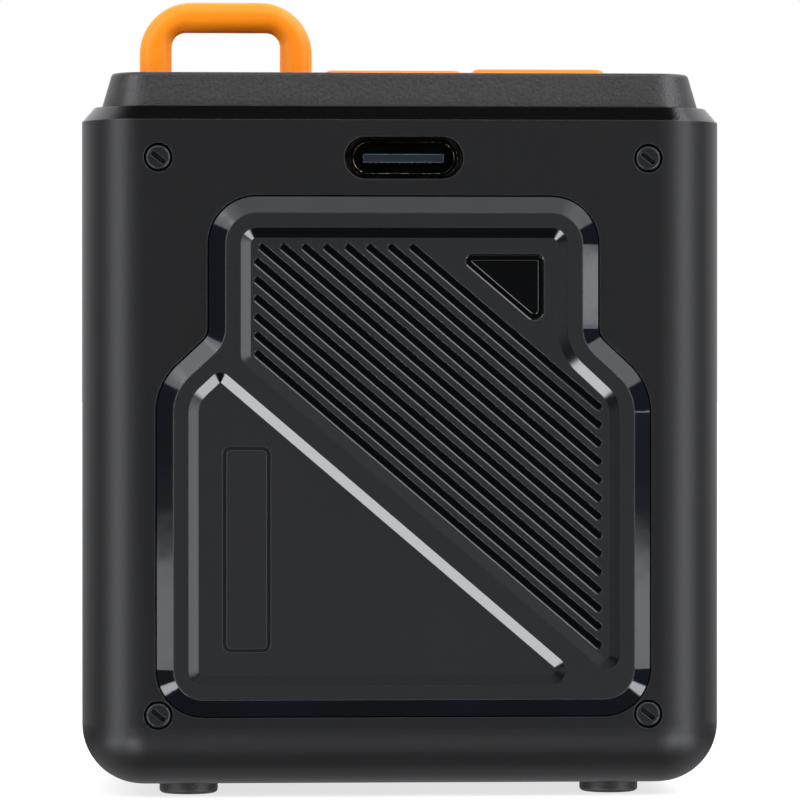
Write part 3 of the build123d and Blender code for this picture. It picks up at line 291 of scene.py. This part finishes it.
# Spark-eroded ABS: a soft deep black whose lights spread out, with edges greyed by a painted highlight, and
# a shoulder that mirrors, its colour darkened as painted shade. The real grain is about 0.05 mm across and
# is drawn coarser to show.
shoulder_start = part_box("main_housing")[1].z - SHOULDER_DROP
housing_abs = moulded("housing_abs", "#060607", "#0E0F10", 0.18, 0.41, grain_height=0.009,
                      edge_highlight="#34363A", polish_and_shade_height=shoulder_start, ior=1.46)
dress(housing_abs, "main_housing", "front_frame")

# ---- Bass radiator ----
# A sculpted ABS panel that floats in a rubber surround. Its land and its sunk fields are fine matt,
# and the slopes between them were polished in the mould, so they mirror the lights.

PANEL_GRAIN = 0.14 * MM
PANEL_CLOUD = 8 * MM
FIELD_DEPTH = 0.35 * MM
MATT_DOWN_TO = 0.2 * MM
GLOSS_AND_SHADE_BELOW = 0.3 * MM
PANEL_EDGE = 0.07 * MM
PANEL_RELIEF = 0.006 * MM

# ABS with two finishes: a matt black on the level faces, and on slopes and groove floors a black mirror.
# The dark tone in the groove floors is painted shade, and the thin grey line where the faces meet is a
# painted highlight.
panel_abs, tree, shader = start_material("panel_abs")
place = add(tree, "TexCoord").outputs["Object"]
grain = add(tree, "TexNoise", {"Vector": place, "Scale": 1 / PANEL_GRAIN, "Detail": 2.0,
                               "Roughness": 0.65}).outputs["Fac"]
cloud = add(tree, "TexNoise", {"Vector": place, "Scale": 1 / PANEL_CLOUD, "Detail": 3.0}).outputs["Fac"]
straight = add(tree, "NewGeometry").outputs["Normal"]
facing = add(tree, "SeparateXYZ", {0: straight}).outputs[1]
level_face = add(tree, "MapRange", {"Value": facing, "From Min": -0.975, "From Max": -0.995}).outputs[0]
depth = add(tree, "SeparateXYZ", {0: place}).outputs[1]
field_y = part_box("radiator_panel")[0].y + FIELD_DEPTH
shallow = add(tree, "MapRange", {"Value": depth, "From Min": field_y + GLOSS_AND_SHADE_BELOW,
                                 "From Max": field_y + MATT_DOWN_TO}).outputs[0]
flat = add(tree, "Math", {0: level_face, 1: shallow}, operation="MULTIPLY").outputs[0]
rounded = add(tree, "Bevel", {"Radius": PANEL_EDGE}, samples=6).outputs[0]
agree = add(tree, "VectorMath", {0: rounded, 1: straight}, operation="DOT_PRODUCT").outputs["Value"]
edge = add(tree, "MapRange", {"Value": agree, "From Min": 0.999, "From Max": 0.975}).outputs[0]
mottle = add(tree, "Mix", {0: 0.4, 2: grain, 3: cloud}).outputs[0]
matt = add(tree, "Mix", {0: mottle, 6: linear("#08090A"), 7: linear("#101113")}, data_type="RGBA")
# The dark tone is the slopes' polished black, and in the groove floors it is painted shade.
tone = add(tree, "Mix", {0: flat, 6: linear("#020304"), 7: matt.outputs[2]}, data_type="RGBA").outputs[2]
# Painted highlight: a thin grey line along the edges.
tone = add(tree, "Mix", {0: edge, 6: tone, 7: linear("#26282B")}, data_type="RGBA").outputs[2]
tree.links.new(tone, shader.inputs["Base Color"])
matt_gloss = add(tree, "MapRange", {"Value": grain, "To Min": 0.38, "To Max": 0.48}).outputs[0]
gloss = add(tree, "Mix", {0: flat, 2: 0.14, 3: matt_gloss}).outputs[0]
tree.links.new(gloss, shader.inputs["Roughness"])
relief = add(tree, "Math", {0: grain, 1: flat}, operation="MULTIPLY").outputs[0]
bump = add(tree, "Bump", {"Height": relief, "Distance": PANEL_RELIEF, "Normal": rounded}).outputs[0]
tree.links.new(bump, shader.inputs["Normal"])
dress(panel_abs, "radiator_panel")

# ---- Radiator surround ----
# A glossy black rubber ring moulded to the panel and clamped to the housing.

RIPPLE_SIZE = 3.5 * MM
RIPPLE_HEIGHT = 0.008 * MM
SKIN_SIZE = 0.2 * MM
FOLD_EDGE = 0.10 * MM
DOUBLES = 0.002 * MM
SHARP_FROM = math.radians(20)
FLATS_LEAD = 100

# Polished rubber: a blue-black mirror whose reflections waver a little along its slopes.
surround_rubber, tree, shader = start_material("surround_rubber")
place = add(tree, "TexCoord").outputs["Object"]
ripple = add(tree, "TexNoise", {"Vector": place, "Scale": 1 / RIPPLE_SIZE, "Detail": 1.0}).outputs["Fac"]
skin = add(tree, "TexNoise", {"Vector": place, "Scale": 1 / SKIN_SIZE, "Detail": 2.0}).outputs["Fac"]
tone = add(tree, "Mix", {0: ripple, 6: linear("#07090D"), 7: linear("#0D1118")}, data_type="RGBA")
tree.links.new(tone.outputs[2], shader.inputs["Base Color"])
gloss = add(tree, "MapRange", {"Value": skin, "To Min": 0.04, "To Max": 0.07}).outputs[0]
tree.links.new(gloss, shader.inputs["Roughness"])
rounded = add(tree, "Bevel", {"Radius": FOLD_EDGE}, samples=6).outputs[0]
bump = add(tree, "Bump", {"Height": ripple, "Distance": RIPPLE_HEIGHT, "Normal": rounded}).outputs[0]
tree.links.new(bump, shader.inputs["Normal"])

# The flat slopes keep their own shading, and only the narrow roundings between them turn the light.
ring = bmesh.new()
ring.from_mesh(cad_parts["radiator_surround"].data)
bmesh.ops.remove_doubles(ring, verts=ring.verts, dist=DOUBLES)
surround = make_piece("surround_ring", ring, surround_rubber, smooth=True)
surround.data.attributes.remove(surround.data.attributes["custom_normal"])
surround.data.set_sharp_from_angle(angle=SHARP_FROM)
flats = surround.modifiers.new("flats", "WEIGHTED_NORMAL")
flats.weight = FLATS_LEAD
flats.keep_sharp = True
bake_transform(surround)
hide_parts("radiator_surround")

# ---- Triangle inlay ----
# A small plate of black acrylic, cut with softened corners, polished and glued into its pocket in
# the panel. It is flat, and wiping has left faint marks on it.

WIPE_SIZE = 1.5 * MM
INLAY_EDGE = 0.16 * MM

# Polished acrylic: the deepest black on the speaker, with one sharp light along its edge.
black_acrylic, tree, shader = start_material("black_acrylic")
place = add(tree, "TexCoord").outputs["Object"]
wipes = add(tree, "TexNoise", {"Vector": place, "Scale": 1 / WIPE_SIZE, "Detail": 4.0,
                               "Distortion": 0.8}).outputs["Fac"]
tone = add(tree, "Mix", {0: wipes, 6: linear("#030303"), 7: linear("#050607")}, data_type="RGBA")
tree.links.new(tone.outputs[2], shader.inputs["Base Color"])
gloss = add(tree, "MapRange", {"Value": wipes, "To Min": 0.03, "To Max": 0.08}).outputs[0]
tree.links.new(gloss, shader.inputs["Roughness"])
rounded = add(tree, "Bevel", {"Radius": INLAY_EDGE}, samples=8).outputs[0]
tree.links.new(rounded, shader.inputs["Normal"])
dress(black_acrylic, "triangle_inlay")

# ---- Radiator mass and clamp ----
# A zinc-plated steel plate glued behind the panel tunes it, and a glass-filled nylon frame behind
# the wall grips the surround's flange and takes the rear screws.

STAIN_SIZE = 2.5 * MM
MARK_SPREAD = 0.08


def metal(name, dark, light, roughness, grain_mm=0.3, stretch=(1, 1, 1), grain_height=0.002, edge_mm=0.08):
    """Metal with the marks of how it was made: stretch draws them out along one axis, as brushing does."""
    material, tree, shader = start_material(name)
    place = add(tree, "TexCoord").outputs["Object"]
    drawn = add(tree, "Mapping", {"Vector": place, "Scale": stretch}).outputs[0]
    marks = add(tree, "TexNoise", {"Vector": drawn, "Scale": 1 / (grain_mm * MM),
                                   "Detail": 3.0}).outputs["Fac"]
    stain = add(tree, "TexNoise", {"Vector": place, "Scale": 1 / STAIN_SIZE, "Detail": 2.0}).outputs["Fac"]
    mottle = add(tree, "Mix", {0: 0.5, 2: marks, 3: stain}).outputs[0]
    tone = add(tree, "Mix", {0: mottle, 6: linear(dark), 7: linear(light)}, data_type="RGBA").outputs[2]
    tree.links.new(tone, shader.inputs["Base Color"])
    gloss = add(tree, "MapRange", {"Value": marks, "To Min": roughness - MARK_SPREAD,
                                   "To Max": roughness + MARK_SPREAD}).outputs[0]
    tree.links.new(gloss, shader.inputs["Roughness"])
    rounded = add(tree, "Bevel", {"Radius": edge_mm * MM}, samples=4).outputs[0]
    bump = add(tree, "Bump", {"Height": marks, "Distance": grain_height * MM, "Normal": rounded}).outputs[0]
    tree.links.new(bump, shader.inputs["Normal"])
    shader.inputs["Metallic"].default_value = 1.0
    return material


# Zinc-plated sheet: bluish grey with faint streaks of rolling. Glass-filled nylon: a dull dark grey
# with a slightly woolly skin, where the fibres come near the surface.
plated_steel = metal("plated_steel", "#9A9B9E", "#C4C5C8", 0.32, stretch=(1, 1, 6))
dress(plated_steel, "radiator_mass")
glass_nylon = moulded("glass_nylon", "#242526", "#343536", 0.25, 0.55, grain_height=0.006)
dress(glass_nylon, "radiator_clamp", "battery_tray", "loop_retainer")

# ---- Rear screws ----
# Four slotted steel screws with low domed heads, stove-lacquered black to match the housing. Their
# slots are stamped, so they are closed at both ends, and the screws pull in the radiator's clamp.

# Lacquered steel: black and a little smoother than the housing, with a grey painted highlight along the
# edges of each head and slot.
black_lacquer = moulded("black_lacquer", "#08090A", "#101113", 0.12, 0.38, grain_height=0.003,
                        edge_mm=0.1, edge_highlight="#34363A")
dress(black_lacquer, "rear_screws")

# ---- Charging socket ----
# A USB-C receptacle, soldered to the main board: a drawn steel shell in dark nickel with broken light-gold
# patches along its rim's edges, and a moulded tongue with gilt contacts on both faces.

NICKEL_PATCH = 0.35 * MM
SHELL_EDGE = 0.06 * MM

# Dark nickel: nearly black and glossy, with broken light-gold patches along the rim's edges.
dark_nickel, tree, shader = start_material("dark_nickel")
place = add(tree, "TexCoord").outputs["Object"]
marks = add(tree, "TexNoise", {"Vector": place, "Scale": 1 / NICKEL_PATCH, "Detail": 3.0}).outputs["Fac"]
rounded = add(tree, "Bevel", {"Radius": SHELL_EDGE}, samples=6).outputs[0]
straight = add(tree, "NewGeometry").outputs["Normal"]
agree = add(tree, "VectorMath", {0: rounded, 1: straight}, operation="DOT_PRODUCT").outputs["Value"]
edge = add(tree, "MapRange", {"Value": agree, "From Min": 0.99, "From Max": 0.85}).outputs[0]
patches = add(tree, "MapRange", {"Value": marks, "From Min": 0.45, "From Max": 0.55}).outputs[0]
gilding = add(tree, "Math", {0: edge, 1: patches}, operation="MULTIPLY").outputs[0]
tone = add(tree, "Mix", {0: gilding, 6: linear("#1D1B1A"), 7: linear("#D8BC90")}, data_type="RGBA")
tree.links.new(tone.outputs[2], shader.inputs["Base Color"])
gloss = add(tree, "MapRange", {"Value": marks, "To Min": 0.18, "To Max": 0.32}).outputs[0]
tree.links.new(gloss, shader.inputs["Roughness"])
tree.links.new(rounded, shader.inputs["Normal"])
shader.inputs["Metallic"].default_value = 1.0
dress(dark_nickel, "usb_shell")

# Black nylon with a blue cast and a pale painted highlight along its lip, and warm gilt contacts.
tongue_nylon = moulded("tongue_nylon", "#0D1319", "#18212B", 0.2, 0.34, edge_mm=0.14, edge_highlight="#5C7088")
dress(tongue_nylon, "usb_tongue")
gilt = metal("gilt", "#B98F45", "#D9B468", 0.25, grain_mm=0.2)
dress(gilt, "usb_contacts")

# ---- Top cap ----
# A black ABS cover, moulded apart from the housing and screwed down from inside over a gasket. Its
# mould was eroded more coarsely, so it feels rougher.

# Coarse ABS: it scatters more light than the housing does, so it looks greyer. A painted highlight greys
# its edges further.
cap_abs = moulded("cap_abs", "#0E0E0E", "#2A2A2A", 0.28, 0.43, grain_height=0.03, edge_mm=0.2,
                  edge_highlight="#3A3A3A")
dress(cap_abs, "top_cap")

# ---- Carry loop ----
# A loop for a wrist cord: orange silicone rubber moulded over a stiff core in one piece. Its legs go
# through the cap, and a screwed plate holds its anchor bar up from below.

# Silicone rubber: a strong clean orange with a silky skin and no sharp lights.
loop_rubber = moulded("loop_rubber", "#FF8A06", "#FF920C", 0.3, 0.5, grain_height=0.004, edge_mm=0.1,
                      ior=1.41)
dress(loop_rubber, "carry_loop")

# ---- Keys and their frame ----
# Three orange ABS keys with sunk symbols, in a thin frame of the same plastic that stands a little
# proud of the cap. Each key works a snap dome on the board below it.

# Satin ABS: a slightly redder orange than the loop, with thin brighter lines along the keys' edges, partly
# from their rounded shading and partly a painted highlight in the colour.
key_abs = moulded("key_abs", "#FC7E06", "#FF880C", 0.18, 0.5, grain_height=0.006, edge_mm=0.08, ior=1.46)
dress(key_abs, "key_frame", "power_key", "play_key", "volume_rocker")

# ---- Lamp ----
# A small white LED on the key board lights a clear acrylic peg, which is pressed into the cap with
# its end flush.

ACRYLIC_HAZE = 0.4 * MM

# Clear acrylic: a small bright window, a little hazy inside.
clear_acrylic, tree, shader = start_material("clear_acrylic")
place = add(tree, "TexCoord").outputs["Object"]
haze = add(tree, "TexNoise", {"Vector": place, "Scale": 1 / ACRYLIC_HAZE, "Detail": 3.0}).outputs["Fac"]
tone = add(tree, "Mix", {0: haze, 6: linear("#D8DADC"), 7: linear("#F4F6F8")}, data_type="RGBA")
tree.links.new(tone.outputs[2], shader.inputs["Base Color"])
gloss = add(tree, "MapRange", {"Value": haze, "To Min": 0.08, "To Max": 0.22}).outputs[0]
tree.links.new(gloss, shader.inputs["Roughness"])
shader.inputs["Transmission Weight"].default_value = 0.85
shader.inputs["IOR"].default_value = 1.49
dress(clear_acrylic, "light_pipe")

# Phosphor resin: a waxy pale yellow, as a white LED is when it is off.
lamp_resin = moulded("lamp_resin", "#E6DFA8", "#F6F0C8", 0.3, 0.3)
dress(lamp_resin, "status_led")

# ---- Feet ----
# Four discs of black rubber with soft lower edges, so the speaker doesn't slide or buzz on a table.
# Each is moulded with a plug that is pulled into a hole in the floor.

# Natural rubber: a dull dark grey that picks up dust, so it is lighter than the housing.
foot_rubber = moulded("foot_rubber", "#161616", "#242424", 0.22, 0.5, grain_height=0.012, edge_mm=0.15)
dress(foot_rubber, "feet")

# ---- Front grille ----
# Perforated steel sheet with its rim folded back, powder-coated black and seated in the front frame.
# The driver's pressed basket has the same coat.

# Powder coat: a satin black with a fine orange-peel skin that softens the edges of the holes.
powder_coat = moulded("powder_coat", "#141516", "#1E1F21", 0.4, 0.38, grain_height=0.012, edge_mm=0.12)
dress(powder_coat, "front_grille", "driver_basket")

# ---- Grille cloth ----
# A black polyester weave that keeps dust off the driver and lets the sound through. It is stretched
# flat and glued round its edge to the back of the grille.

THREAD = 0.30 * MM
THREAD_HEIGHT = 0.08 * MM
WAVE_TURN = 20
CLOTH_COLUMNS = 42
CLOTH_ROWS = 48
CLOTH_SHARE = 0.9

# Plain weave: dark gaps between dull threads. They are drawn 0.3 mm apart, a little coarser than
# real ones, so that they show through the holes.
cloth_weave, tree, shader = start_material("cloth_weave")
place = add(tree, "TexCoord").outputs["Object"]
threads_per_m = math.tau / WAVE_TURN / THREAD
warp = add(tree, "TexWave", {"Vector": place, "Scale": threads_per_m, "Distortion": 0.3},
           bands_direction="X", wave_profile="SIN").outputs["Fac"]
weft = add(tree, "TexWave", {"Vector": place, "Scale": threads_per_m, "Distortion": 0.3},
           bands_direction="Z", wave_profile="SIN").outputs["Fac"]
threads = add(tree, "Math", {0: warp, 1: weft}, operation="MAXIMUM").outputs[0]
tone = add(tree, "Mix", {0: threads, 6: linear("#050505"), 7: linear("#1B1B1C")}, data_type="RGBA")
tree.links.new(tone.outputs[2], shader.inputs["Base Color"])
gloss = add(tree, "MapRange", {"Value": threads, "To Min": 0.95, "To Max": 0.8}).outputs[0]
tree.links.new(gloss, shader.inputs["Roughness"])
shader.inputs["Sheen Weight"].default_value = 0.25
bump = add(tree, "Bump", {"Height": threads, "Distance": THREAD_HEIGHT}).outputs[0]
tree.links.new(bump, shader.inputs["Normal"])

near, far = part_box("grille_cloth")
size = far - near
upright = Matrix.Rotation(math.radians(-90), 3, "X")
weave = bmesh.new()
bmesh.ops.create_grid(weave, x_segments=CLOTH_COLUMNS, y_segments=CLOTH_ROWS, size=0.5)
bmesh.ops.scale(weave, vec=(size.x, size.z, 1), verts=weave.verts)
bmesh.ops.rotate(weave, cent=(0, 0, 0), matrix=upright, verts=weave.verts)
bmesh.ops.translate(weave, vec=(near + far) / 2, verts=weave.verts)
cloth = make_piece("speaker_cloth", weave, cloth_weave)
thickness = cloth.modifiers.new("thickness", "SOLIDIFY")
thickness.thickness = size.y * CLOTH_SHARE
thickness.offset = 0
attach(cloth, "root")
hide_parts("grille_cloth")

# ---- Driver ----
# A small full-range driver, screwed to the front frame over a foam gasket: a pressed steel basket, a
# plated yoke and magnet, a copper coil on a polyimide former, a woven spider, and a paper cone in a
# butyl rubber surround.

# Nickel plate is warm and bright. Polyimide film is a glossy amber, and enamelled copper is redder,
# with the turns of the coil drawn out round it.
dress(plated_steel, "yoke_cup", "pole_plate")
nickel = metal("nickel", "#B4B2AC", "#D2D0CA", 0.22, grain_mm=0.5)
dress(nickel, "drive_magnet", "radio_module", "key_domes")
polyimide = moulded("polyimide", "#8A4E12", "#A8641E", 0.6, 0.28)
dress(polyimide, "coil_former", "board_link")
enamelled_copper = metal("enamelled_copper", "#B5622E", "#D27B42", 0.3, grain_mm=0.12, stretch=(1, 8, 1))
dress(enamelled_copper, "coil_winding")

# Resin-stiffened cotton is a rough straw brown, and pressed paper a fibrous charcoal. Butyl rubber is
# an even dull black, and open-cell foam a soft one full of small pits.
spider_weave = moulded("spider_weave", "#7A5A2C", "#A07C46", 0.35, 0.8, grain_height=0.05, sheen=0.2)
dress(spider_weave, "spider")
cone_paper = moulded("cone_paper", "#161616", "#2A2A29", 0.5, 0.82, grain_height=0.04, sheen=0.1)
dress(cone_paper, "cone", "dust_cap")
butyl = moulded("butyl", "#0E0E0E", "#181818", 0.3, 0.5)
dress(butyl, "cone_surround", "front_seal", "cap_gasket", "usb_seal")
foam = moulded("foam", "#1A1A1A", "#303030", 0.3, 0.9, grain_height=0.08)
dress(foam, "driver_gasket", "battery_spacer")

# ---- Boards and their parts ----
# Glass-epoxy boards under solder mask, screwed to posts in the housing and the cap. They carry black
# moulded chips, sockets and inductors, a shielded radio module and fired ceramic capacitors.

TRACK_CELL = 4 * MM
TRACK_HEIGHT = 0.03 * MM
MASK_SKIN = 0.5 * MM

# Solder mask: a glossy green whose lighter lines are the copper tracks under it.
solder_mask, tree, shader = start_material("solder_mask")
place = add(tree, "TexCoord").outputs["Object"]
tracks = add(tree, "TexBrick", {
    "Vector": place, "Scale": 1 / TRACK_CELL, "Mortar Size": 0.06,
    "Color1": linear("#0C4A2A"), "Color2": linear("#0F5431"), "Mortar": linear("#1B6B3F"),
})
tree.links.new(tracks.outputs["Color"], shader.inputs["Base Color"])
skin = add(tree, "TexNoise", {"Vector": place, "Scale": 1 / MASK_SKIN}).outputs["Fac"]
gloss = add(tree, "MapRange", {"Value": skin, "To Min": 0.2, "To Max": 0.35}).outputs[0]
tree.links.new(gloss, shader.inputs["Roughness"])
bump = add(tree, "Bump", {"Height": tracks.outputs["Fac"], "Distance": TRACK_HEIGHT}).outputs[0]
tree.links.new(bump, shader.inputs["Normal"])
dress(solder_mask, "key_board", "main_board", "driver_terminals")

# Moulding epoxy is a plain dull black, and fired ceramic a smooth tan.
chip_epoxy = moulded("chip_epoxy", "#151515", "#212121", 0.12, 0.5, edge_mm=0.06)
dress(chip_epoxy, "amplifier_chip", "inductors", "battery_socket", "speaker_socket")
ceramic = moulded("ceramic", "#7D5E3F", "#94724F", 0.2, 0.35, edge_mm=0.05)
dress(ceramic, "capacitors")

# ---- Battery ----
# A flat lithium cell in a pouch of aluminium laminate. It stands in a nylon tray, and foam keeps it
# from rattling.

# Laminate foil: a dull silver with shallow creases a few millimetres apart.
pouch_foil = metal("pouch_foil", "#A8AAAE", "#C9CBCF", 0.38, grain_mm=1.8, grain_height=0.05, edge_mm=0.3)
dress(pouch_foil, "battery_cell")

# ---- Leads ----
# Pairs of thin stranded copper wires in soft PVC. One pair runs from the cell and one from the
# driver's terminals, each to its socket under the main board.

# Soft PVC: a plain red with a waxy light along each wire.
red_insulation = moulded("red_insulation", "#9E1410", "#BC1E18", 0.5, 0.4)
dress(red_insulation, "battery_leads", "speaker_leads")

# ---- Hidden screws ----
# Small cross-head screws, cold-headed from steel wire and zinc-plated. They hold the front frame, the
# cap, the loop, both boards, the battery tray and the driver.

# Bright zinc: a cold silver with fine specks.
zinc = metal("zinc", "#A4A6AA", "#C8CACE", 0.28, grain_mm=0.2)
dress(zinc, "frame_screws", "cap_screws", "loop_screws", "key_board_screws", "tray_screws", "board_screws",
      "driver_screws")
